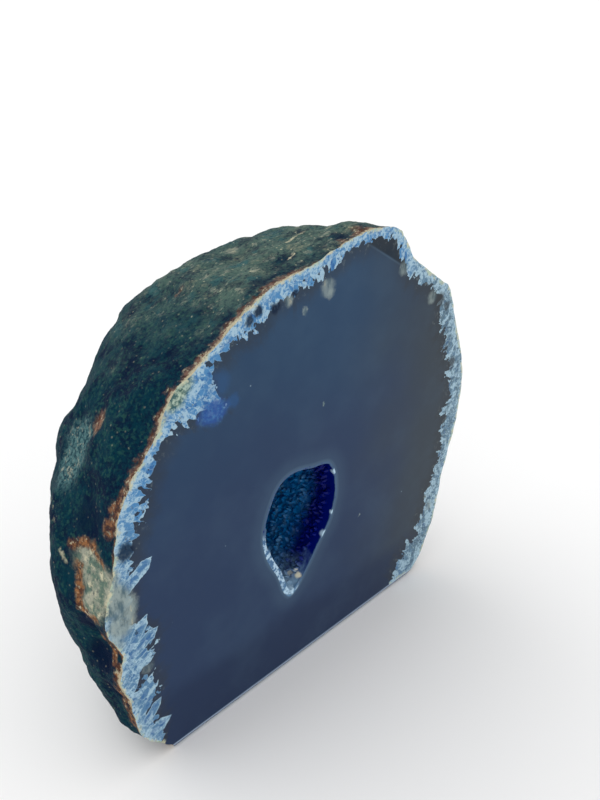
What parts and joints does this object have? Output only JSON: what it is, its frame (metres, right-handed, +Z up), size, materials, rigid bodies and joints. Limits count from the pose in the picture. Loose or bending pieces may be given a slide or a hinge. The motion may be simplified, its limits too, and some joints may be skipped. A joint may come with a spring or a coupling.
{
  "type": "blue agate half geode",
  "caption": "Half of a blue agate nodule, sawn and polished in front, rough rind behind, ground flat to stand, with a small crystal-lined hollow.",
  "frame": {"origin": "middle of the bounding box, at the level of the ground base", "axes": "+X runs across the polished face, to the right as seen from in front; -Y is the way the polished face looks and +Y goes back into the rind; +Z is up"},
  "size_m": [0.1092, 0.0508, 0.1001],
  "materials": {
    "agate": "sawn face polished to a gloss, ground base satin, natural rind matte",
    "quartz": "natural glossy crystal faces, blue"
  },
  "bodies": {
    "root": {"agate": "agate", "crystal_crust": "quartz"}
  },
  "joints": []
}
